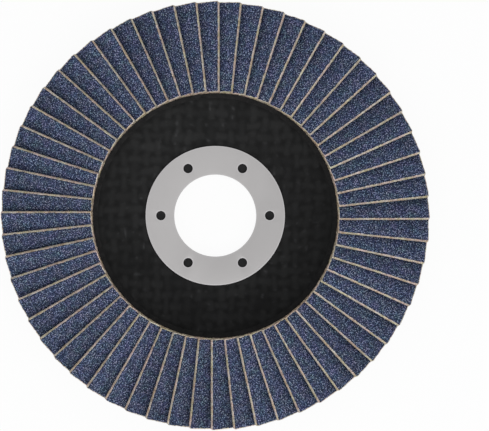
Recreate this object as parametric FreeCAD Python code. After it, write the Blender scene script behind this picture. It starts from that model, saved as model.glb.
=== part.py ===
import FreeCAD, Part
import math
import os

# Driving dimensions, in millimetres and degrees.
# The disc lies with its back on z = 0 and its grinding side up. Its axis is z.
# Seen from above, x is to the right and y is up.

# Whole disc
disc_diameter = 115.0
disc_height = 14.6
bore_diameter = 22.23
cone_angle = 8.0

# Flaps: rectangles of coated cloth, cut to one size
flap_count = 60
flaps_per_group = 2
flap_length = 24.5
flap_width = 14.0
flap_thickness = 1.2
flap_clearance = 0.03
edge_offset = 0.78
first_flap_angle = 0.11

# Backing plate, moulded to one thickness. The flaps overhang its rim.
plate_overhang = 4.0
plate_thickness = 2.4
plate_edge_break = 0.5
hub_flat_diameter = 43.0
hub_bend_radius = 3.0
crest_inset = 2.2

# Resin bed between the plate and the feet of the flaps
bed_depth = 0.5
bed_setback = 0.7
bed_toe = 1.2
bed_rise = 1.0
bed_film = 0.15
bed_skin = 0.35
wall_shown = 4.4

# Hub ring, stamped from sheet
ring_diameter = 37.7
ring_thickness = 0.5
ring_edge_break = 0.15
bore_edge_break = 0.15
ring_lip = 0.45
lip_angle = 45.0
ring_hole_count = 6
ring_hole_diameter = 2.5
ring_hole_circle = 29.4

cone = math.radians(cone_angle)
pitch = 360.0 / flap_count
least_lean = 3.0
most_lean = 75.0
tiny = 1e-9
axis = FreeCAD.Vector(0, 0, 1)
centre = FreeCAD.Vector(0, 0, 0)


def turned(vector, degrees):
    return FreeCAD.Rotation(axis, degrees).multVec(vector)


def flap_directions(lean):
    # Along the flap, across it towards its free edge, and out of its grinding face.
    along = FreeCAD.Vector(math.cos(cone), 0, -math.sin(cone))
    rise = FreeCAD.Vector(
        math.sin(cone) * math.sin(lean), -math.cos(lean), math.cos(cone) * math.sin(lean)
    )
    face = FreeCAD.Vector(
        math.sin(cone) * math.cos(lean), math.sin(lean), math.cos(cone) * math.cos(lean)
    )
    return along, rise, face


def free_corner(lean):
    # The inner end of the free edge. The foot's outer corner lies on the disc's diameter.
    along, rise, face = flap_directions(lean)
    foot_across = flap_width * math.cos(lean) - edge_offset
    foot_out = math.sqrt((disc_diameter / 2) ** 2 - foot_across**2)
    inner = foot_out + flap_width * rise.x - flap_length * along.x
    return FreeCAD.Vector(inner, -edge_offset, disc_height)


def stack_gap(lean):
    # The gap between the inner end of a foot and the flap that lies over it.
    along, rise, face = flap_directions(lean)
    corner = free_corner(lean)
    foot = turned(corner - rise * flap_width, -pitch)
    return -face.dot(foot - corner) - flap_thickness


def stacked_lean():
    # The flaps lean just as far as their thickness lets them pack at the inner end.
    low = math.radians(least_lean)
    high = math.radians(most_lean)
    while high - low > tiny:
        middle = (low + high) / 2
        if stack_gap(middle) < flap_clearance:
            low = middle
        else:
            high = middle
    return high


lean = stacked_lean()
along, rise, face = flap_directions(lean)
corner = free_corner(lean)
foot_inner = corner - rise * flap_width - face * flap_thickness

# The plate's front cone passes under the feet, with the bed between them.
bore_radius = bore_diameter / 2
plate_radius = disc_diameter / 2 - plate_overhang
foot_radius = math.hypot(foot_inner.x, foot_inner.y)
foot_height = foot_inner.z - bed_depth


def cone_height(radius):
    return foot_height - (radius - foot_radius) * math.tan(cone)


def flap_block(bottom, top):
    # A block over the flap's rectangle, between two heights from its grinding face.
    start = corner + face * top
    end = start + along * flap_length
    foot = rise * flap_width
    outline = Part.makePolygon([start, end, end - foot, start - foot, start])
    return Part.Face(outline).extrude(face * (bottom - top))


def placed(shape, index):
    copy = shape.copy()
    copy.rotate(centre, axis, first_flap_angle + index * pitch)
    return copy


def flap(index):
    return placed(flap_block(-flap_thickness, 0), index)


def seat(index):
    # What a flap and the gap over it take out of the resin. No gap is wider than this.
    gap = flap_length * math.sin(math.radians(pitch))
    return placed(flap_block(-flap_thickness, gap), index)


def outline(corners):
    # Straight runs between corners. A corner is (radius, height, bend): a bend above 0 is the
    # radius of a tangent arc, and one below 0 is a flat break that takes this much off each run.
    points = [FreeCAD.Vector(r, 0, z) for r, z, bend in corners]
    edges = []
    ends = []
    count = len(corners)
    for i in range(count):
        here = points[i]
        bend = corners[i][2]
        back = (points[i - 1] - here).normalize()
        ahead = (points[(i + 1) % count] - here).normalize()
        half = back.getAngle(ahead) / 2
        reach = bend / math.tan(half) if bend > 0 else -bend
        crown = here + (back + ahead).normalize() * (bend / math.sin(half) - bend)
        ends.append((here + back * reach, crown, here + ahead * reach))
    for i in range(count):
        start, crown, leave = ends[i]
        if corners[i][2] > 0:
            edges.append(Part.Arc(start, crown, leave).toShape())
        if corners[i][2] < 0:
            edges.append(Part.makeLine(start, leave))
        edges.append(Part.makeLine(leave, ends[(i + 1) % count][0]))
    return Part.Wire(edges)


def turned_solid(corners):
    return Part.Face(outline(corners)).revolve(centre, axis, 360)


def offset_side(points, thickness):
    # The other side of a bent sheet: each run is moved by the thickness to its right.
    runs = []
    for (r0, z0), (r1, z1) in zip(points, points[1:]):
        length = math.hypot(r1 - r0, z1 - z0)
        dr = (r1 - r0) / length
        dz = (z1 - z0) / length
        runs.append((r0 + dz * thickness, z0 - dr * thickness, dr, dz))
    side = [(runs[0][0], runs[0][1])]
    for (r0, z0, a0, b0), (r1, z1, a1, b1) in zip(runs, runs[1:]):
        step = ((r1 - r0) * b1 - (z1 - z0) * a1) / (a0 * b1 - b0 * a1)
        side.append((r0 + a0 * step, z0 + b0 * step))
    return side


def hub_ring():
    # Flange on the front of the hub, collar through it, and a lip flared out at the back.
    front = plate_thickness + ring_thickness
    flange = ring_diameter / 2
    collar = bore_radius + ring_thickness
    flare = math.radians(lip_angle)
    lip_height = ring_lip / math.tan(flare)
    ring = turned_solid([
        (bore_radius + ring_lip, 0, 0),
        (bore_radius, lip_height, 0),
        (bore_radius, front, -bore_edge_break),
        (flange, front, -ring_edge_break),
        (flange, plate_thickness, 0),
        (collar, plate_thickness, 0),
        (collar, lip_height + ring_thickness * math.tan(flare / 2), 0),
        (bore_radius + ring_lip + ring_thickness / math.cos(flare), 0, 0),
    ])
    for i in range(ring_hole_count):
        at = turned(FreeCAD.Vector(ring_hole_circle / 2, 0, 0), i * 360 / ring_hole_count)
        ring = ring.cut(Part.makeCylinder(ring_hole_diameter / 2, front, at))
    return ring


def backing_plate(ring):
    # Flat hub, a ramp up to the crest, and a rim that falls outwards with the cone.
    crest = corner.x - crest_inset
    front = [
        (bore_radius + ring_thickness, plate_thickness),
        (hub_flat_diameter / 2, plate_thickness),
        (crest, cone_height(crest)),
        (plate_radius, cone_height(plate_radius)),
    ]
    back = offset_side(front, plate_thickness)
    back.append((plate_radius, cone_height(plate_radius) - plate_thickness / math.cos(cone)))
    outer_bend = hub_bend_radius + plate_thickness
    upper = [(*p, b) for p, b in zip(front, [0, hub_bend_radius, 0, -plate_edge_break])]
    lower = [(*p, b) for p, b in zip(back, [0, outer_bend, 0, -plate_edge_break])]
    return turned_solid(upper + lower[::-1]).cut(ring)


def resin_bed(plate):
    # A ring of resin with a seat for every foot, squeezed up against the inner ends.
    wall = corner - rise * (wall_shown / rise.z)
    wall_radius = math.hypot(wall.x, wall.y) - bed_skin
    toe_radius = wall_radius - bed_toe
    bed_radius = plate_radius - bed_setback
    below = plate_thickness / 2
    corners = [
        (toe_radius, cone_height(toe_radius) - below, 0),
        (toe_radius, cone_height(toe_radius) + bed_film, 0),
        (wall_radius, cone_height(wall_radius) + bed_film + bed_rise, 0),
        (wall_radius, wall.z, 0),
        (wall_radius + flap_length / 2, wall.z, 0),
        (bed_radius, cone_height(bed_radius) + flap_width * rise.z, 0),
        (bed_radius, cone_height(bed_radius) - below, 0),
    ]
    bed = turned_solid(corners).cut(plate)
    for i in range(flap_count):
        bed = bed.cut(seat(i))
    return bed


def main():
    os.makedirs("parts", exist_ok=True)
    ring = hub_ring()
    plate = backing_plate(ring)
    ring.exportStep("parts/hub_ring.step")
    plate.exportStep("parts/backing_plate.step")
    resin_bed(plate).exportStep("parts/resin_bed.step")
    for group in range(flap_count // flaps_per_group):
        first = group * flaps_per_group
        flaps = [flap(first + i) for i in range(flaps_per_group)]
        Part.makeCompound(flaps).exportStep(f"parts/flap_pair_{group + 1:02d}.step")


main()
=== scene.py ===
import math

import bmesh
import bpy
import numpy as np
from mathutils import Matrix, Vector
from mathutils.bvhtree import BVHTree


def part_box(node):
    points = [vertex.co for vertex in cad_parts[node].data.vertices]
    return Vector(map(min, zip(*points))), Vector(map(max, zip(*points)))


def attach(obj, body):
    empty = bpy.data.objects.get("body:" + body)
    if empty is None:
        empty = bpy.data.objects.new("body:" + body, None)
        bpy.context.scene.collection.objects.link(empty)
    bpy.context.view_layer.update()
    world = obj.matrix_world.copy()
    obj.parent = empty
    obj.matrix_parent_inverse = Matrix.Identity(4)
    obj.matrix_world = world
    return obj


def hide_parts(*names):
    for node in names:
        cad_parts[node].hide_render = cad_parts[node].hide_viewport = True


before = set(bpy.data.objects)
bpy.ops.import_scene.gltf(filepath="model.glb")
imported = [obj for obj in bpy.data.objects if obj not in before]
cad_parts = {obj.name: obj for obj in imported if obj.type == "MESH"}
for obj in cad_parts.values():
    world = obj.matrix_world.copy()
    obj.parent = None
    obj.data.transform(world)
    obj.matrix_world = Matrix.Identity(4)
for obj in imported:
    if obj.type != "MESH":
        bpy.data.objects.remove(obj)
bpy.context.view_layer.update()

mm = 0.001


class Wire:
    # A node's output that takes part in sums
    def __init__(self, finish, socket):
        self.finish = finish
        self.socket = socket

    def work(self, operation, *values):
        return self.finish.node("ShaderNodeMath", {"operation": operation}, dict(enumerate(values)))

    def __add__(self, other):
        return self.work("ADD", self, other)

    def __radd__(self, other):
        return self.work("ADD", other, self)

    def __sub__(self, other):
        return self.work("SUBTRACT", self, other)

    def __rsub__(self, other):
        return self.work("SUBTRACT", other, self)

    def __mul__(self, other):
        return self.work("MULTIPLY", self, other)

    def __rmul__(self, other):
        return self.work("MULTIPLY", other, self)

    def __truediv__(self, other):
        return self.work("DIVIDE", self, other)

    def __rtruediv__(self, other):
        return self.work("DIVIDE", other, self)

    def __pow__(self, other):
        return self.work("POWER", self, other)

    def __rpow__(self, other):
        return self.work("POWER", other, self)

    def __abs__(self):
        return self.work("ABSOLUTE", self)

    def sine(self):
        return self.work("SINE", self)

    def clamped(self):
        return self.finish.node("ShaderNodeClamp", {}, {"Value": self})

    def between(self, low, high):
        # 0 below low, 1 above high, smooth between
        return self.finish.node("ShaderNodeMapRange", {"interpolation_type": "SMOOTHSTEP"},
                                {"Value": self, "From Min": low, "From Max": high})

    def part(self, name):
        # Another output of the same node
        return Wire(self.finish, self.socket.node.outputs[name])


class Finish:
    # A material, or the world, and its nodes
    def __init__(self, owner):
        self.owner = owner
        owner.use_nodes = True
        self.tree = owner.node_tree
        self.tree.nodes.clear()

    def node(self, kind, settings=None, sockets=None, output=0):
        made = self.tree.nodes.new(kind)
        for key, value in (settings or {}).items():
            if key == "stops":
                for stop in range(2, len(value)):
                    made.color_ramp.elements.new(0.5)
                for element, (place, color) in zip(made.color_ramp.elements, value):
                    element.position = place
                    element.color = color
            else:
                setattr(made, key, value)
        for key, value in (sockets or {}).items():
            if isinstance(value, Wire):
                self.tree.links.new(value.socket, made.inputs[key])
            else:
                made.inputs[key].default_value = value
        return Wire(self, made.outputs[output]) if made.outputs else None

    def mixColor(self, factor, first, second, blend="MIX"):
        return self.node("ShaderNodeMix", {"data_type": "RGBA", "blend_type": blend},
                         {0: factor, 6: first, 7: second}, output=2)

    def color(self, red, green, blue):
        return self.node("ShaderNodeCombineColor", {}, {0: red, 1: green, 2: blue})

    def scaled(self, vector, size):
        return self.node("ShaderNodeVectorMath", {"operation": "SCALE"}, {0: vector, "Scale": size})

    def inMm(self):
        return self.scaled(self.node("ShaderNodeTexCoord").part("Object"), 1 / mm)

    def xyz(self, vector):
        # Stands for x. Its other parts are Y and Z.
        return self.node("ShaderNodeSeparateXYZ", {}, {0: vector})

    def attribute(self, name, output="Fac"):
        return self.node("ShaderNodeAttribute", {"attribute_name": name}).part(output)

    def noise(self, vector, scale, detail=2, roughness=0.5):
        sockets = {"Vector": vector, "Scale": scale, "Detail": detail, "Roughness": roughness}
        return self.node("ShaderNodeTexNoise", {"noise_dimensions": "3D"}, sockets)

    def grains(self, vector, size):
        # The distance from each grain's middle, and three random numbers for each grain
        cells = self.node("ShaderNodeTexVoronoi", {"voronoi_dimensions": "2D", "feature": "F1"},
                          {"Vector": vector, "Scale": 1 / size})
        return cells, self.node("ShaderNodeSeparateColor", {}, {0: cells.part("Color")})

    def tinted(self, color, place, tints, detail, roughness=0.5):
        # A tint is its colour, the spread and scale of its patches, and where it starts and is full
        for tint, spread, scale, start, full in tints:
            patch = self.noise(self.scaled(place, spread), scale, detail, roughness)
            color = self.mixColor(patch.between(start, full), color, tint, "MULTIPLY")
        return color

    def bump(self, height, distance, strength):
        return self.node("ShaderNodeBump", {},
                         {"Height": height, "Distance": distance, "Strength": strength})

    def surface(self, **sockets):
        named = {key.replace("_", " "): value for key, value in sockets.items()}
        self.output(self.node("ShaderNodeBsdfPrincipled", {}, named))

    def output(self, shader, kind="ShaderNodeOutputMaterial"):
        self.node(kind, {}, {"Surface": shader})


def newFinish(name):
    return Finish(bpy.data.materials.new(name))


def seen(red, green, blue):
    # A colour as a screen shows it, 0 to 255, turned to the values that light works with
    linear = [c / 12.92 if c <= 0.04045 else ((c + 0.055) / 1.055) ** 2.4
              for c in (red / 255, green / 255, blue / 255)]
    return (*linear, 1)


def addObject(name, data):
    made = bpy.data.objects.new(name, data)
    bpy.context.scene.collection.objects.link(made)
    return made


def addPiece(name, points, faces, finish, nodes):
    mesh = bpy.data.meshes.new(name)
    mesh.from_pydata(points, [], faces)
    mesh.materials.append(finish.owner)
    mesh.update()
    mesh.shade_smooth()
    piece = addObject(name, mesh)
    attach(piece, "root")
    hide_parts(*nodes)
    return piece


def paint(mesh, values):
    # Numbers at the mesh's points, for its finish
    for name, value in values.items():
        mesh.attributes.new(name, "FLOAT", "POINT").data.foreach_set("value", value.ravel())


def levels(*runs):
    # Places along an edge: each run is (start, end, step)
    found = []
    for start, end, step in runs:
        count = max(1, round((end - start) / step))
        found += [start + (end - start) * i / count for i in range(count)]
    return np.array(found + [runs[-1][1]])


def wander(random, count, step):
    # Smooth random numbers, about -1 to 1, that change over this many places
    knots = random.uniform(-1, 1, int(count / step) + 4)
    at = np.linspace(0, len(knots) - 3.001, count)
    first = at.astype(int)
    share = at - first
    share = share * share * (3 - 2 * share)
    return knots[first] * (1 - share) + knots[first + 1] * share


fieldSize = 64    # hills to a side before a field repeats


def softField(random, x, y, size):
    # Smooth random height over the plane, about -1 to 1, with hills this large
    grid = random.uniform(-1, 1, (fieldSize, fieldSize))
    i, j = np.floor(x / size).astype(int), np.floor(y / size).astype(int)
    p, q = x / size - i, y / size - j
    p, q = p * p * (3 - 2 * p), q * q * (3 - 2 * q)

    def corner(di, dj):
        return grid[(i + di) % fieldSize, (j + dj) % fieldSize]

    return ((corner(0, 0) * (1 - p) + corner(1, 0) * p) * (1 - q)
            + (corner(0, 1) * (1 - p) + corner(1, 1) * p) * q)


def turnedRings(radii, count):
    # x and y of this many points on each ring
    turns = np.arange(count) * 2 * math.pi / count
    return radii[:, None] * np.cos(turns), radii[:, None] * np.sin(turns)


def ringFaces(rings, count):
    # Joins rings of points into a closed tube, the last ring to the first
    return [(i * count + j, ((i + 1) % rings) * count + j,
             ((i + 1) % rings) * count + (j + 1) % count, i * count + (j + 1) % count)
            for i in range(rings) for j in range(count)]


# Lengths are in metres for the camera, the light and the floor
cameraLook = {
    "height": 0.492,         # above the face that the disc lies on
    "lens": 133.2,
    "shift": (0.0598, 0.0002),
    "near": 0.01,
}


def makeCamera():
    look = cameraLook
    data = bpy.data.cameras.new("camera")
    data.lens = look["lens"]
    data.shift_x, data.shift_y = look["shift"]
    data.clip_start = look["near"]
    camera = addObject("camera", data)
    camera.location = (0, 0, look["height"])
    bpy.context.scene.camera = camera


lightLook = {
    "worldColor": (0.96, 0.98, 1, 1),
    "worldStrength": 0.7,
    "keyAzimuth": -84,
    "keyElevation": 54,
    "keyDistance": 0.7,
    "keySize": (1.6, 0.4),   # a long soft box
    "keyPower": 2.25,
    "floorSize": 3.0,
    "floorDrop": 0.02,       # mm under the hub, so that the two faces don't share a plane
    "floorShine": 0.94,      # share of the floor's white that no shadow touches
    "paperDark": (0.86, 0.86, 0.86, 1),
    "paperPale": (0.9, 0.9, 0.9, 1),
    "paperScale": 900,
}


def whiteForCamera(finish, lit, share, kind):
    # What the camera, metal and glass see is mixed with plain white
    rays = finish.node("ShaderNodeLightPath")
    direct = (rays.part("Is Camera Ray") + rays.part("Is Glossy Ray")
              + rays.part("Is Transmission Ray")).clamped()
    white = finish.node(kind, {}, {"Color": (1, 1, 1, 1), "Strength": 1.0})
    return finish.node("ShaderNodeMixShader", {}, {0: direct * share, 1: lit, 2: white})


def makeWorld():
    look = lightLook
    world = Finish(bpy.data.worlds.new("studio"))
    bpy.context.scene.world = world.owner
    soft = world.node("ShaderNodeBackground", {},
                      {"Color": look["worldColor"], "Strength": look["worldStrength"]})
    world.output(whiteForCamera(world, soft, 1.0, "ShaderNodeBackground"), "ShaderNodeOutputWorld")


def makeKeyLight():
    look = lightLook
    azimuth = math.radians(look["keyAzimuth"])
    elevation = math.radians(look["keyElevation"])
    toKey = Vector((math.cos(azimuth) * math.cos(elevation),
                    math.sin(azimuth) * math.cos(elevation), math.sin(elevation)))
    lamp = bpy.data.lights.new("key", "AREA")
    lamp.shape = "RECTANGLE"
    lamp.size, lamp.size_y = look["keySize"]
    lamp.energy = look["keyPower"]
    key = addObject("key", lamp)
    key.location = toKey * look["keyDistance"]
    key.rotation_euler = toKey.to_track_quat("Z", "Y").to_euler()


def makeFloor():
    look = lightLook
    paper = newFinish("whitePaper")
    speckle = paper.noise(paper.node("ShaderNodeTexCoord").part("Object"), look["paperScale"])
    stops = [(0.0, look["paperDark"]), (1.0, look["paperPale"])]
    grey = paper.node("ShaderNodeValToRGB", {"stops": stops}, {0: speckle})
    matte = paper.node("ShaderNodeBsdfDiffuse", {}, {"Color": grey})
    paper.output(whiteForCamera(paper, matte, look["floorShine"], "ShaderNodeEmission"))
    size, low = look["floorSize"], -look["floorDrop"] * mm
    mesh = bpy.data.meshes.new("floor")
    corners = [(-size, -size, low), (size, -size, low), (size, size, low), (-size, size, low)]
    mesh.from_pydata(corners, [], [(0, 1, 2, 3)])
    mesh.materials.append(paper.owner)
    floor = addObject("floor", mesh)


# From here on lengths are in mm
flapLook = {
    "seed": 17,
    # Fine mesh beside a seen edge: start, end, step
    "edgeSteps": ((0, 0.18, 0.06), (0.18, 0.45, 0.13)),
    "alongStep": 0.27,
    "outerZone": 0.3,        # and over the last of the length
    "outerStep": 0.1,
    "fineStep": 0.22,
    "seenWidth": 6.6,        # from the free edge to where the next flap covers all
    "coarseStep": 1.25,
    "layers": 6,
    "clothDepth": 0.30,      # cloth under the grit, below the grinding face
    "clothRise": 0.02,       # bare cloth lies this far over it
    "gritDepth": 0.13,       # how deep the hollows between grains are
    "hollows": 1.5,          # above 1, more of them are shallow
    "chipFree": (0.01, 0.17),    # bare cloth along the free edge, least and most
    "chipInner": (0.12, 0.36),
    "chipOuter": (0.01, 0.11),
    "chipSlow": 0.45,        # share of a chip's width that changes slowly
    "chipRun": (4, 3),       # over this many points along an edge and across an end
    "chipSlope": 0.07,
    "trim": 0.07,            # how far the inner cut lies back
    "fringe": 0.12,          # yarn ends out of line at the inner cut
    "fringeFrom": 0.2,       # from this depth down
    "edgeFray": 0.11,
    "slip": 0.025,           # how far a flap sits off its place
    "reach": 0.14,           # how much longer the free edge is cut than the foot
    "belly": 2.8,            # how much the outer end is bowed between the two
    "cornerWear": 0.16,      # how far its outer corner is worn back
    "wornWidth": 0.5,
    "yarnContrast": 0.5,     # some yarns are paler than others
    "innerShade": 0.67,      # the inner ends are darker
    "innerContrast": 0.22,
    "toneRange": (0.88, 1.1),    # from flap to flap
    "placeRange": 400,       # each flap has its own place in the grain pattern
    "grainSize": 0.42,       # from grain to grain
    "facetSize": 0.16,       # and from facet to facet on them
    "crownZone": (0.1, 0.55),    # in grains: bright up to the first, dark from the second; the bright crown is partly a painted glint
    "brightness": (0.18, 0.42, 0.4),    # least, by grain, by facet
    "grainStops": (          # brightness and colour; the palest is partly a painted sparkle
        (0.12, seen(15, 22, 41)), (0.34, seen(50, 62, 88)),
        (0.58, seen(104, 116, 140)), (0.76, seen(176, 186, 200))),
    "grainTints": (
        ((1.11, 0.94, 1.03, 1), 1.0, 0.36, 0.4, 0.6),      # violet
        ((0.83, 1.02, 0.96, 1), -1.0, 0.4, 0.45, 0.62),    # teal
        ((0.99, 0.985, 1.15, 1), 0.7, 0.5, 0.4, 0.6)),     # blue
    "greenGrain": (0.9, 1.04, 0.98, 1),
    "greenShare": 0.3,
    "greenZone": (0.2, 0.9),
    "cutShade": 0.28,        # the grit is darker in a narrow band beside the cut
    "cutZone": (0.05, 0.4),
    "coverShade": 0.16,            # painted shade where the next flap comes down over the grit
    "coverShadeZone": (1.5, 5.5),
    "clothPale": seen(226, 217, 201),
    "clothDark": seen(150, 133, 114),
    "clothTints": (
        ((1.07, 0.92, 0.98, 1), 1.0, 0.42, 0.4, 0.62),     # pink
        ((0.98, 1, 0.82, 1), -1.0, 0.38, 0.42, 0.64)),     # yellow
    "yarnPitch": 0.55,
    "layerPitch": 0.6875,    # from layer to layer of yarns in the cloth's thickness
    "layerStart": 0.6,
    "yarnSway": 1.6,
    "yarnShares": (0.45, 0.3, 0.25),    # yarns along, across, in layers
    "clothLight": (0.7, 1.7, -0.64),    # by yarn, by fibre, for all
    "browning": (1.1, 1.3),  # powers of green and blue in a darker yarn
    "ragged": 0.5,           # how much facets move the line where grit and cloth meet
    "meeting": (0.35, 0.65),
    "gritRough": 0.78,
    "gritGloss": 0.45,       # how much smoother the glossiest grain is
    "clothRough": 0.85,
    "gritRelief": (0.7, 0.5),    # by grain, by brightness
    "clothRelief": (0.6, 0.4),   # by yarn, by fibre
    "specular": 0.2,
    "bump": 0.12,
}


def flapPlaces(node):
    # Each flap of a node as its free edge's inner corner and three edges from there
    shape = bmesh.new()
    shape.from_mesh(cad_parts[node].data)
    bmesh.ops.remove_doubles(shape, verts=shape.verts, dist=1e-6)
    bmesh.ops.dissolve_limit(shape, angle_limit=0.01, verts=shape.verts, edges=shape.edges)
    left = set(shape.verts)
    places = []
    while left:
        block = {left.pop()}
        front = list(block)
        while front:
            for edge in front.pop().link_edges:
                for vert in edge.verts:
                    if vert not in block:
                        block.add(vert)
                        front.append(vert)
        left -= block
        corner = max(block, key=lambda vert: vert.co.z)
        sides = [edge.other_vert(corner).co - corner.co for edge in corner.link_edges]
        thick, wide, long = sorted(sides, key=lambda side: side.length)
        places.append((corner.co.copy(), long, wide, thick))
    shape.free()
    return sorted(places, key=lambda place: math.atan2(place[0].y, place[0].x))


def wallRadius():
    # Where the flaps start, seen from the axis
    return min(place[0].to_2d().length for place in flapPlaces("flap_pair_01")) / mm


def flapGrid(length, width, depth):
    # Mesh levels shared by all flaps
    look = flapLook
    edge, cloth = look["edgeSteps"], look["clothDepth"]
    start, last, shown = edge[-1][1], length - look["outerZone"], look["seenWidth"]
    along = levels(*edge, (start, last, look["alongStep"]), (last, length, look["outerStep"]))
    across = levels(*edge, (start, shown, look["fineStep"]), (shown, width, look["coarseStep"]))
    deep = levels((0, cloth, cloth), (cloth, depth, (depth - cloth) / (look["layers"] - 1)))
    return along, across, deep


def flapFaces(along, across, deep):
    # Numbers the points on the block's skin and joins them. The back has one strip per step.
    nu, nv, nw = len(along) - 1, len(across) - 1, len(deep) - 1
    index = -np.ones((nu + 1, nv + 1, nw + 1), int)
    skin = [(i, j, k) for i in range(nu + 1) for j in range(nv + 1) for k in range(nw + 1)
            if i in (0, nu) or j in (0, nv) or k == 0]
    for n, place in enumerate(skin):
        index[place] = n
    faces = []

    def face(*places):
        faces.append([int(index[place]) for place in places])

    for i in range(nu):
        for j in range(nv):
            face((i, j, 0), (i + 1, j, 0), (i + 1, j + 1, 0), (i, j + 1, 0))
        for k in range(nw):
            face((i, 0, k), (i, 0, k + 1), (i + 1, 0, k + 1), (i + 1, 0, k))
            face((i, nv, k), (i + 1, nv, k), (i + 1, nv, k + 1), (i, nv, k + 1))
        near = range(nv + 1) if i == 0 else (0, nv)
        far = range(nv + 1) if i == nu - 1 else (0, nv)
        face(*((i, j, nw) for j in near), *((i + 1, j, nw) for j in reversed(far)))
    for j in range(nv):
        for k in range(nw):
            face((0, j, k), (0, j + 1, k), (0, j + 1, k + 1), (0, j, k + 1))
            face((nu, j, k), (nu, j, k + 1), (nu, j + 1, k + 1), (nu, j + 1, k))
    return np.array(skin), faces


def flapPoints(random, grid, skin):
    # The skin's points in the flap's own mm, and what the finish needs to know of them
    look = flapLook
    along, across, deep = grid
    nu, nv, nw = len(along) - 1, len(across) - 1, len(deep) - 1
    i, j, k = skin.T
    u, v, w = along[i].copy(), across[j].copy(), deep[k].copy()

    def chip(size, count, step):
        low, high = size
        slow = look["chipSlow"]
        rough = slow * wander(random, count, step) + (1 - slow) * random.uniform(-1, 1, count)
        return low + (high - low) * (0.5 + 0.5 * rough)

    def yarnEnds(count):
        # How far each yarn's end stands out, half of it together with its neighbours
        alone = random.uniform(-1, 1, (count, nw + 1))
        return (alone + wander(random, count, 2)[:, None]) / 2

    runAlong, runAcross = look["chipRun"]
    fromFree = v - chip(look["chipFree"], nu + 1, runAlong)[i]
    fromInner = u - chip(look["chipInner"], nv + 1, runAcross)[j]
    fromOuter = along[-1] - u - chip(look["chipOuter"], nv + 1, runAcross)[j]
    nearest = np.minimum(np.minimum(fromFree, fromInner), fromOuter)
    cover = np.clip(nearest / look["chipSlope"] + 0.5, 0, 1)
    cover[k > 0] = 0
    grit = random.uniform(0, 1, len(u)) ** look["hollows"] * look["gritDepth"]
    drop = cover * grit + (1 - cover) * (look["clothDepth"] - look["clothRise"])
    w[k == 0] = drop[k == 0]

    freeYarn = yarnEnds(nu + 1)[i, k]
    endYarn = yarnEnds(nv + 1)[j, k]
    v[j == 0] += look["edgeFray"] * freeYarn[j == 0]
    atInner = (i == 0) & (w > look["fringeFrom"])
    u[atInner] += look["trim"] - look["fringe"] * endYarn[atInner]
    atOuter = i == nu
    share = v[atOuter] / across[-1]
    worn = np.clip(1 - v[atOuter] / look["wornWidth"], 0, 1) ** 2
    u[atOuter] += (look["edgeFray"] * endYarn[atOuter] - look["cornerWear"] * worn
                   + look["reach"] * (1 - share) * (1 + look["belly"] * share))
    shade = 1 + look["yarnContrast"] * freeYarn
    shade[i == 0] = look["innerShade"] + look["innerContrast"] * endYarn[i == 0]
    slipAlong, slipAcross = random.uniform(-1, 1, 2) * look["slip"]
    points = np.stack([u + slipAlong, v + slipAcross, w], 1)
    return points, {"gritCover": cover, "freeDistance": fromFree, "yarnShade": shade}


def gritFinish():
    look = flapLook
    cloth = newFinish("gritCloth")
    place = cloth.attribute("flapPlace", "Vector")

    # Each grain has its own brightness, hue and gloss, small facets on it and dark resin round it.
    # The bright crowns and facets are partly painted glints.
    cells, chance = cloth.grains(place, look["grainSize"])
    facetChance = cloth.grains(place, look["facetSize"])[1]
    least, byGrain, byFacet = look["brightness"]
    crown = 1 - cells.between(*look["crownZone"])
    bright = (crown * (least + byGrain * chance) + facetChance * byFacet).clamped()
    grit = cloth.node("ShaderNodeValToRGB", {"stops": look["grainStops"]}, {0: bright})
    grit = cloth.tinted(grit, place, look["grainTints"], detail=4, roughness=0.6)
    greenish = chance.part("Green").between(*look["greenZone"]) * look["greenShare"]
    grit = cloth.mixColor(greenish, grit, look["greenGrain"], "MULTIPLY")
    away = cloth.attribute("freeDistance")
    besideCut = 1 - look["cutShade"] + look["cutShade"] * away.between(*look["cutZone"])
    # painted shade: the grit is made darker where the next flap comes down over it
    underFlapShade = 1 - look["coverShade"] * away.between(*look["coverShadeZone"])
    tone = cloth.attribute("flapTone") * besideCut * underFlapShade
    grit = cloth.mixColor(1.0, grit, cloth.color(tone, tone, tone), "MULTIPLY")

    # Bare cloth has yarns that cross at one pitch, darker between them
    turn = math.pi / look["yarnPitch"]
    parts = cloth.xyz(place)
    sway = cloth.noise(place, scale=0.9) * look["yarnSway"]
    alongYarn = abs((parts * turn + sway).sine())
    acrossYarn = abs((parts.part("Y") * turn + sway).sine())
    inLayers = parts.part("Z") * (math.pi / look["layerPitch"]) + look["layerStart"]
    along, across, layered = look["yarnShares"]
    yarn = alongYarn * along + acrossYarn * across + abs(inLayers.sine()) * layered
    fibre = cloth.noise(place, scale=2.2, detail=4, roughness=0.7)
    byYarn, byFibre, forAll = look["clothLight"]
    light = (yarn * byYarn + fibre * byFibre + forAll).clamped()
    tan = cloth.mixColor(light, look["clothDark"], look["clothPale"])
    tan = cloth.tinted(tan, place, look["clothTints"], detail=2)
    shade = cloth.attribute("yarnShade")
    green, blue = look["browning"]
    warmShade = cloth.color(shade, shade ** green, shade ** blue)
    tan = cloth.mixColor(1.0, tan, warmShade, "MULTIPLY")

    # The two meet in a ragged line of facets
    cover = cloth.attribute("gritCover") + (facetChance - 0.5) * look["ragged"]
    edge = cover.between(*look["meeting"])
    gloss = chance.part("Blue")
    gritRough = look["gritRough"] - look["gritGloss"] * gloss * gloss
    byCell, byBright = look["gritRelief"]
    gritHeight = (1 - cells) * byCell + bright * byBright
    byYarn, byFibre = look["clothRelief"]
    clothHeight = yarn * byYarn + fibre * byFibre
    height = edge * gritHeight + (1 - edge) * clothHeight
    cloth.surface(
        Base_Color=cloth.mixColor(edge, tan, grit),
        Roughness=edge * gritRough + (1 - edge) * look["clothRough"],
        Specular_IOR_Level=look["specular"],
        Normal=cloth.bump(height, look["bump"] * mm, strength=0.8),
    )
    return cloth


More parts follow.
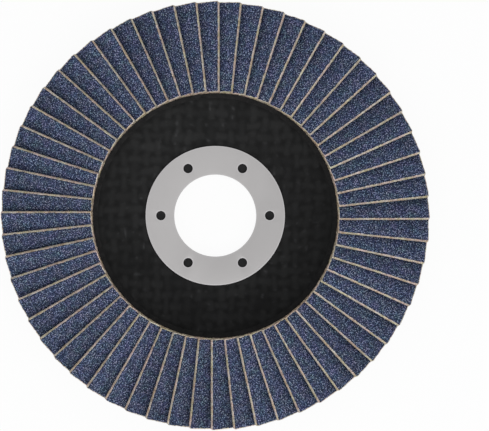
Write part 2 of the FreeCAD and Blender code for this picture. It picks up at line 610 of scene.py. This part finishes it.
def makeFlaps():
    look = flapLook
    finish = gritFinish()
    nodes = sorted(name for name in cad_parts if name.startswith("flap_pair"))
    places = [(node, place) for node in nodes for place in flapPlaces(node)]
    size = [side.length / mm for side in places[0][1][1:]]    # all are cut to this
    grid = flapGrid(*size)
    skin, faces = flapFaces(*grid)
    for n, (node, (corner, *sides)) in enumerate(places):
        random = np.random.default_rng(look["seed"] + n)
        local, values = flapPoints(random, grid, skin)
        basis = np.array([side.normalized() for side in sides])
        points = np.array(corner) + local @ basis * mm
        name = f"flap_{n + 1:02d}"
        mesh = addPiece(name, points.tolist(), faces, finish, [node]).data
        place = local + random.uniform(0, look["placeRange"], 3) * (1, 1, 0)
        forFinish = mesh.attributes.new("flapPlace", "FLOAT_VECTOR", "POINT")
        forFinish.data.foreach_set("vector", place.ravel())
        values["flapTone"] = np.full(len(local), random.uniform(*look["toneRange"]))
        paint(mesh, values)
    print("flaps", len(places), "faces each", len(faces))


resinLook = {                # what plate and bed share
    "shadeAzimuth": -51,      # painted shade: the side towards which the resin is made darker
    "paintedSideShade": 0.18,        # how much darker at the axis, none or twice this at the radius
    "shadeRadius": 33,
    "darkest": seen(2, 2, 2),
    "specular": 0.04,
}


def paintedSideShade(finish, place):
    # Painted shade: the resin is made darker towards one side, lighter towards the other
    look = resinLook
    turn = math.radians(look["shadeAzimuth"])
    parts = finish.xyz(place)
    toSide = (parts * math.cos(turn) + parts.part("Y") * math.sin(turn)) / look["shadeRadius"]
    return (look["paintedSideShade"] * (1 + toSide)).clamped()


plateLook = {
    "segments": 450,
    "fineStep": 0.36,        # between rings of points where the plate shows
    "backStep": 0.8,
    "coarseStep": 1.5,
    "margin": 1,             # the fine ones run this far under the metal ring and the flaps
    "rimZone": 1.2,
    "rimStep": 0.2,
    "edge": 0.02,            # first and last rings lie this far inside the rim and the hub
    "crestRound": 0.5,       # heights are evened out over this much to both sides
    "crestRounds": 3,        # this many times
    "warpPitch": 2.9,
    "weftPitch": 3.25,
    "under": 0.3,            # how much lower a yarn lies where it passes under another
    "relief": 0.06,          # depth of the hollows between yarns
    "backRelief": 0.6,       # share of it on the back
    "fade": 0.5,             # the relief fades beside the metal ring and before the wall
    "fadeAtRing": 0.1,
    "fadeAtWall": 1.1,
    "sway": 0.7,             # how far the yarns wander, and over what length
    "swaySize": 9,
    "jitter": 0.35,
    "jitterSize": 2.5,
    "yarnFlat": 1.4,         # above 1, a yarn's top is flat,
    "yarnSlope": 1.5,        # and it falls off this steeply
    "wetSize": 6,
    "speckSize": 1.3,
    "toneShares": (0.3, 0.35, 0.3, 0.15),    # least, by crossing, by wetting, by specks
    "dryGlintSizes": (0.9, 2.2),
    "dryGlintGain": 2.6,          # more and larger dry places with painted glints,
    "dryGlintLess": 0.8,          # or fewer and smaller
    "seed": 5,
    "grime": 0.15,           # painted shade: how much darker the resin is made at the flaps' wall
    "wallShadeStart": 2,
    "underRing": 0.15,       # how much dry fibre and painted glint the yarns have there
    "resinColor": seen(35, 35, 35),
    "yarnColor": seen(50, 50, 50),
    "dryGlintColor": seen(67, 67, 68),
    "paleShares": (0.5, 0.6, -0.3),    # by weave, by fibre, for all
    "paleZone": (0.0, 1.1),
    "roughShares": (0.62, -0.14, 0.12),    # for all, where pale, by fibre
    "bump": 0.04,
}


def weaveAt(random, x, y):
    # Open glass cloth under resin: its height from 0 to 1, how pale it is, and where it has dry
    # fibre, partly painted as glints
    look = plateLook

    def moved(along):
        return (along + look["sway"] * softField(random, x, y, look["swaySize"])
                + look["jitter"] * softField(random, x, y, look["jitterSize"]))

    x, y = moved(x), moved(y)
    acrossWarp, acrossWeft = x / look["warpPitch"], y / look["weftPitch"]
    flat, slope = look["yarnFlat"], look["yarnSlope"]
    warp, weft = [np.clip(flat - np.abs((across % 1) * 2 - 1) * slope, 0, 1)
                  for across in (acrossWarp, acrossWeft)]
    warpCell, weftCell = np.floor(acrossWarp).astype(int), np.floor(acrossWeft).astype(int)
    warpOver = (warpCell + weftCell) % 2
    under = look["under"]
    crown = np.maximum(warp * (1 - under + under * warpOver), weft * (1 - under * warpOver))
    # Each crossing catches the light on its own
    share = random.uniform(0, 1, (fieldSize, fieldSize))
    block = share[warpCell + fieldSize // 2, weftCell + fieldSize // 2]
    wetted = 0.5 + 0.5 * softField(random, x, y, look["wetSize"])
    small, large = [softField(random, x, y, size) for size in look["dryGlintSizes"]]
    dry = np.clip(look["dryGlintGain"] * small * large - look["dryGlintLess"], 0, 1) * crown
    specks = softField(random, x, y, look["speckSize"]) + 0.5
    least, byBlock, byWetting, bySpecks = look["toneShares"]
    tone = crown * (least + byBlock * block + byWetting * wetted) + bySpecks * specks
    return crown, np.clip(tone, 0, 1), dry


def solidTree(node):
    shape = bmesh.new()
    shape.from_mesh(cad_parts[node].data)
    tree = BVHTree.FromBMesh(shape)
    shape.free()
    return tree


def castRings(tree, radii, fromAbove):
    # Heights of the solid's front or back face at these radii
    side = 1 if fromAbove else -1
    turn = math.radians(3)   # clear of the solid's seam
    far = side * 100 * mm    # and well off the disc
    heights = []
    for radius in radii:
        start = Vector((radius * math.cos(turn) * mm, radius * math.sin(turn) * mm, far))
        hit = tree.ray_cast(start, Vector((0, 0, -side)))
        heights.append(hit[0].z / mm)
    return np.array(heights)


def plateFinish():
    look = plateLook
    resin = newFinish("blackLaminate")
    place = resin.inMm()
    patch = resin.noise(place, scale=0.14, detail=3)
    fibre = resin.noise(place, scale=3.0, detail=4, roughness=0.6)
    byWeave, byFibre, forAll = look["paleShares"]
    pale = resin.attribute("weave") * (byWeave + patch) + fibre * byFibre + forAll
    pale = pale.between(*look["paleZone"])
    color = resin.mixColor(pale, look["resinColor"], look["yarnColor"])
    # pale dry yarn tops, partly a painted glint
    color = resin.mixColor(resin.attribute("dry"), color, look["dryGlintColor"])
    # painted shade: darker towards the flaps' wall and towards one side
    dark = resin.attribute("grime") * look["grime"] + paintedSideShade(resin, place)
    forAll, byPale, byFibre = look["roughShares"]
    resin.surface(
        Base_Color=resin.mixColor(dark, color, resinLook["darkest"]),
        Roughness=forAll + byPale * pale + byFibre * fibre,
        Specular_IOR_Level=resinLook["specular"],
        Normal=resin.bump(fibre, look["bump"] * mm, strength=0.6),
    )
    return resin


def plateProfile(node, ringEdge, wall):
    # Radii and heights of the rings of points, out along the front and in along the back
    look = plateLook
    tree = solidTree(node)
    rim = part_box(node)[1].x / mm
    collar = min(math.hypot(v.co.x, v.co.y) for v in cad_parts[node].data.vertices) / mm
    inner, outer = collar + look["edge"], rim - look["edge"]
    coarse, start, end = look["coarseStep"], ringEdge - look["margin"], wall + look["margin"]
    atRim = outer - look["rimZone"]
    rimRuns = (end, atRim, coarse), (atRim, outer, look["rimStep"])
    frontRadii = levels((inner, start, coarse), (start, end, look["fineStep"]), *rimRuns)
    backRadii = levels((inner, ringEdge, coarse), (ringEdge, end, look["backStep"]), *rimRuns)
    # The front's bends are rounded off
    level = np.arange(inner, outer, look["crestRound"])
    evened = castRings(tree, level, True)
    for turn in range(look["crestRounds"]):
        evened[1:-1] = (evened[:-2] + evened[1:-1] * 2 + evened[2:]) / 4
    front = np.interp(frontRadii, level, evened)
    beyond = frontRadii > level[-1]
    front[beyond] = castRings(tree, frontRadii[beyond], True)
    back = castRings(tree, backRadii, False)
    return (np.concatenate([frontRadii, backRadii[::-1]]), np.concatenate([front, back[::-1]]),
            np.arange(len(front) + len(back)) < len(front))


def makePlate():
    look = plateLook
    node = "backing_plate"
    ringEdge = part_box("hub_ring")[1].x / mm
    wall = wallRadius()
    radii, heights, isFront = plateProfile(node, ringEdge, wall)
    x, y = turnedRings(radii, look["segments"])
    random = np.random.default_rng(look["seed"])
    weave, tone, dry = weaveAt(random, x, y)

    fade = look["fade"]
    shown = (np.clip((radii - ringEdge - look["fadeAtRing"]) / fade, 0, 1)
             * np.clip((wall - look["fadeAtWall"] - radii) / fade, 0, 1))
    onBack = np.clip((radii - ringEdge) / 2, 0, 1) * look["backRelief"]
    depth = look["relief"] * np.where(isFront, shown, onBack)[:, None] * (1 - weave)
    z = heights[:, None] + np.where(isFront, -1, 1)[:, None] * depth
    points = np.stack([x, y, z], 2).reshape(-1, 3) * mm
    faces = ringFaces(len(radii), look["segments"])
    piece = addPiece("backingPlate", points.tolist(), faces, plateFinish(), [node])

    side = np.where(isFront, 1, look["backRelief"])[:, None]
    dry[radii < ringEdge] = look["underRing"]
    # painted shade, none near the metal ring and full at the flaps' wall
    start = ringEdge + look["wallShadeStart"]
    grime = np.repeat(np.clip((radii - start) / (wall - start), 0, 1), look["segments"])
    paint(piece.data, {"weave": tone * side, "dry": dry * side, "grime": grime})
    print("plate", len(faces))


ringLook = {
    "segments": 240,
    "bore": 11.115,          # radius
    "thickness": 0.5,
    "lip": 0.45,
    "lipRound": 0.1,         # roundings: the lip's edge and its bend into the bore,
    "lipBend": 0.3,
    "edgeRound": 0.07,       # and the sheet's edges in front and behind
    "backRound": 0.05,
    "roundSteps": 4,
    "sharp": 35,             # degrees
    "holes": 6,
    "holeRadius": 1.25,
    "holeCircle": 14.7,      # radius
    "holeRound": 0.07,
    "holeSegments": 48,
    "pinReach": 1,           # how far the cutting pins stand out of the sheet
    "merge": 0.004,
    "steelColor": seen(178, 176, 176),
    "steelShadedPatch": seen(171, 169, 169),
    "steelHighlight": seen(188, 186, 187),
    "highlightWidth": 0.35,          # how far in from each edge a highlight is painted on the steel
    "boreHighlight": 0.3,       # share of that brightness at the bore
    "fullHighlight": 0.4,      # share of that width where it is brightest
    "shadeSlope": 0.02,          # painted shade: the sheet is darker by this per mm towards one side
    "shadeSlopeZone": (0.1, 0.9),
    "metallic": 0.9,
    "rough": 0.27,
    "fineRough": 0.12,
    "bump": 0.01,
}


def rounded(corners, steps):
    # A closed outline's corners turned into short arcs. A corner is (radius, height, rounding).
    found = []
    for n, (r, z, size) in enumerate(corners):
        here = Vector((r, z))
        before = Vector(corners[n - 1][:2]) - here
        after = Vector(corners[(n + 1) % len(corners)][:2]) - here
        if not size:
            found.append(here)
            continue
        start, end = here + before.normalized() * size, here + after.normalized() * size
        for step in range(steps + 1):
            share = step / steps
            rest = 1 - share
            found.append(start * rest ** 2 + here * 2 * share * rest + end * share ** 2)
    return found


def turnedMesh(name, outline, segments):
    # Spins an outline of (radius, height) round the axis
    points, faces = [], []
    rings = len(outline)
    for n in range(segments):
        turn = 2 * math.pi * n / segments
        points += [(p.x * math.cos(turn) * mm, p.x * math.sin(turn) * mm, p.y * mm)
                   for p in outline]
        ahead = (n + 1) % segments
        faces += [(n * rings + i, n * rings + (i + 1) % rings,
                   ahead * rings + (i + 1) % rings, ahead * rings + i) for i in range(rings)]
    mesh = bpy.data.meshes.new(name)
    mesh.from_pydata(points, [], faces)
    shape = bmesh.new()
    shape.from_mesh(mesh)
    bmesh.ops.recalc_face_normals(shape, faces=shape.faces)
    shape.to_mesh(mesh)
    shape.free()
    return addObject(name, mesh)


def ringOutline(flange, front):
    look = ringLook
    bore, thick, lip = look["bore"], look["thickness"], look["lip"]
    soft, back = look["edgeRound"], look["backRound"]
    collar, under = bore + thick, front - thick
    # The lip flares at 45 degrees and keeps the sheet's thickness
    return rounded([
        (bore + lip, 0, look["lipRound"]), (bore, lip, look["lipBend"]),
        (bore, front, soft), (flange, front, soft), (flange, under, back), (collar, under, 0),
        (collar, lip + thick * math.tan(math.pi / 8), 0),
        (bore + lip + thick * math.sqrt(2), 0, back)], look["roundSteps"])


def holePins(front):
    # A closed pin for each hole, a little wider at the face
    look = ringLook
    half, wide, reach = look["holeRadius"], look["holeRound"], look["pinReach"]
    side = [(half, front - look["thickness"] - reach), (half, front - wide)]
    for step in range(look["roundSteps"]):
        turn = math.pi / 2 * (step + 1) / look["roundSteps"]
        side.append((half + wide * (1 - math.cos(turn)), front - wide + wide * math.sin(turn)))
    side.append((half + wide, front + reach))
    pin = bmesh.new()
    steps, away = look["holeSegments"], look["holeCircle"]
    turns = [2 * math.pi * s / steps for s in range(steps)]
    for n in range(look["holes"]):
        turn = 2 * math.pi * n / look["holes"]
        middle = Vector((away * math.cos(turn), away * math.sin(turn), 0))
        rows = [[pin.verts.new((middle + Vector((r * math.cos(t), r * math.sin(t), z))) * mm)
                 for t in turns] for r, z in side]
        for lower, upper in zip(rows, rows[1:]):
            for s in range(steps):
                ahead = (s + 1) % steps
                pin.faces.new((lower[s], lower[ahead], upper[ahead], upper[s]))
        pin.faces.new(rows[0][::-1])
        pin.faces.new(rows[-1])
    mesh = bpy.data.meshes.new("pins")
    pin.to_mesh(mesh)
    pin.free()
    return addObject("pins", mesh)


def ringFinish(flange):
    look = ringLook
    steel = newFinish("satinSteel")
    place = steel.inMm()
    fine = steel.noise(place, scale=2.5, detail=4, roughness=0.6)
    patch = steel.noise(place, scale=0.12)
    # Painted shade: one side of the sheet is made a little darker, with patches
    x = steel.xyz(place)
    y = x.part("Y")
    side = (x * look["shadeSlope"] - y * look["shadeSlope"] + patch).between(*look["shadeSlopeZone"])
    color = steel.mixColor(side, look["steelColor"], look["steelShadedPatch"])
    # A highlight is painted along the edges. The angle is folded to half the step from hole to
    # hole.
    radius = (x * x + y * y) ** 0.5
    turn = y.work("ARCTAN2", y, x)
    angle = turn.work("PINGPONG", turn, math.pi / look["holes"])
    circle = look["holeCircle"]
    towardsHole = 2 * circle * radius * angle.work("COSINE", angle)
    fromHole = (radius * radius + circle ** 2 - towardsHole) ** 0.5
    bore, hole = look["bore"], look["holeRadius"]
    full, none = look["highlightWidth"] * look["fullHighlight"], look["highlightWidth"]
    atRim = radius.between(flange - none, flange - full)
    atBore = 1 - radius.between(bore + full, bore + none)
    atHole = 1 - fromHole.between(hole + full, hole + none)
    bright = (atRim + look["boreHighlight"] * atBore + atHole).clamped()
    steel.surface(
        Base_Color=steel.mixColor(bright * (0.5 + fine), color, look["steelHighlight"]),
        Metallic=look["metallic"],
        Roughness=look["rough"] + look["fineRough"] * fine,
        Normal=steel.bump(fine, look["bump"] * mm, strength=0.3),
    )
    return steel


def makeRing():
    look = ringLook
    node = "hub_ring"
    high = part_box(node)[1]
    flange, front = high.x / mm, high.z / mm
    ring = turnedMesh("hubRing", ringOutline(flange, front), look["segments"])
    pins = holePins(front)
    cut = ring.modifiers.new("holes", "BOOLEAN")
    cut.object = pins
    cut.solver = "EXACT"
    graph = bpy.context.evaluated_depsgraph_get()
    mesh = bpy.data.meshes.new_from_object(ring.evaluated_get(graph))
    ring.modifiers.clear()
    bpy.data.objects.remove(pins)
    # The cut leaves slivers
    shape = bmesh.new()
    shape.from_mesh(mesh)
    bmesh.ops.remove_doubles(shape, verts=shape.verts, dist=look["merge"] * mm)
    bmesh.ops.dissolve_degenerate(shape, edges=shape.edges, dist=look["merge"] * mm)
    shape.to_mesh(mesh)
    shape.free()
    mesh.name = "hubRing"
    mesh.materials.clear()
    mesh.materials.append(ringFinish(flange).owner)
    mesh.shade_smooth()
    mesh.set_sharp_from_angle(angle=math.radians(look["sharp"]))
    ring.data = mesh
    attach(ring, "root")
    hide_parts(node)
    print("ring", len(mesh.polygons))


bedLook = {
    "segments": 360,
    "toe": 1.5,              # the fillet starts this far inside the flaps' inner corners
    "reach": 0.45,           # and runs this far under them
    "rise": 1.15,
    "hollow": 1.3,           # above 1, its face is hollow
    "steps": 13,
    "start": 0.12,           # its first edge lies this far in the plate
    "startFade": 6,
    "depth": 0.3,            # and its underside this far
    "lump": 0.05,
    "lumpSizes": (2.2, 0.9),
    "smallLump": 0.6,        # how high the smaller lumps are beside the larger
    "seed": 11,
    "resinColor": seen(30, 30, 30),
    "resinPale": seen(50, 49, 49),
    "paleShares": (1.8, 1.6, -1.2),    # by lump, by fine grain, for all
    "rough": 0.45,
    "lumpRough": 0.25,
    "bump": 0.06,
}


def bedFinish():
    look = bedLook
    resin = newFinish("curedResin")
    place = resin.inMm()
    lumps = resin.noise(place, scale=0.5, detail=4)
    fine = resin.noise(place, scale=2.6, detail=3, roughness=0.6)
    byLump, byFine, forAll = look["paleShares"]
    pale = (lumps * byLump + fine * byFine + forAll).clamped()
    color = resin.mixColor(pale, look["resinColor"], look["resinPale"])
    # painted shade towards one side, as on the plate
    resin.surface(
        Base_Color=resin.mixColor(paintedSideShade(resin, place), color, resinLook["darkest"]),
        Roughness=look["rough"] + look["lumpRough"] * lumps,
        Specular_IOR_Level=resinLook["specular"],
        Normal=resin.bump(fine, look["bump"] * mm, strength=0.6),
    )
    return resin


def makeBed():
    # The bed with its seats, and a fillet that runs down from it onto the plate
    look = bedLook
    node = "resin_bed"
    wall = wallRadius()
    radii = np.linspace(wall - look["toe"], wall + look["reach"], look["steps"])
    share = np.linspace(0, 1, look["steps"])
    plate = castRings(solidTree("backing_plate"), radii, True)
    toe = look["start"] * (1 - share) ** look["startFade"]
    top = plate + look["rise"] * share ** look["hollow"] - toe
    heights = np.concatenate([top, plate[::-1] - look["depth"]])
    x, y = turnedRings(np.concatenate([radii, radii[::-1]]), look["segments"])
    random = np.random.default_rng(look["seed"])
    large, small = [softField(random, x, y, size) for size in look["lumpSizes"]]
    lumps = look["lump"] * (large + look["smallLump"] * small)
    raised = np.concatenate([np.sin(share * math.pi), 0 * share])    # not at the fillet's ends
    z = heights[:, None] + lumps * raised[:, None]

    shape = bmesh.new()
    shape.from_mesh(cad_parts[node].data)
    points = np.stack([x, y, z], 2).reshape(-1, 3) * mm
    verts = [shape.verts.new(point) for point in points.tolist()]
    for corners in ringFaces(len(heights), look["segments"]):
        shape.faces.new([verts[corner] for corner in corners]).smooth = True
    mesh = bpy.data.meshes.new("resinBed")
    shape.to_mesh(mesh)
    shape.free()
    mesh.materials.clear()
    mesh.materials.append(bedFinish().owner)
    bed = addObject("resinBed", mesh)
    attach(bed, "root")
    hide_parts(node)
    print("bed", len(mesh.polygons))


makeCamera()
makeWorld()
makeKeyLight()
makeFloor()
print("camera, light and floor")
makeFlaps()
makePlate()
makeRing()
makeBed()
print("plate, ring and resin")

view = bpy.context.scene.view_settings
view.view_transform = "Standard"
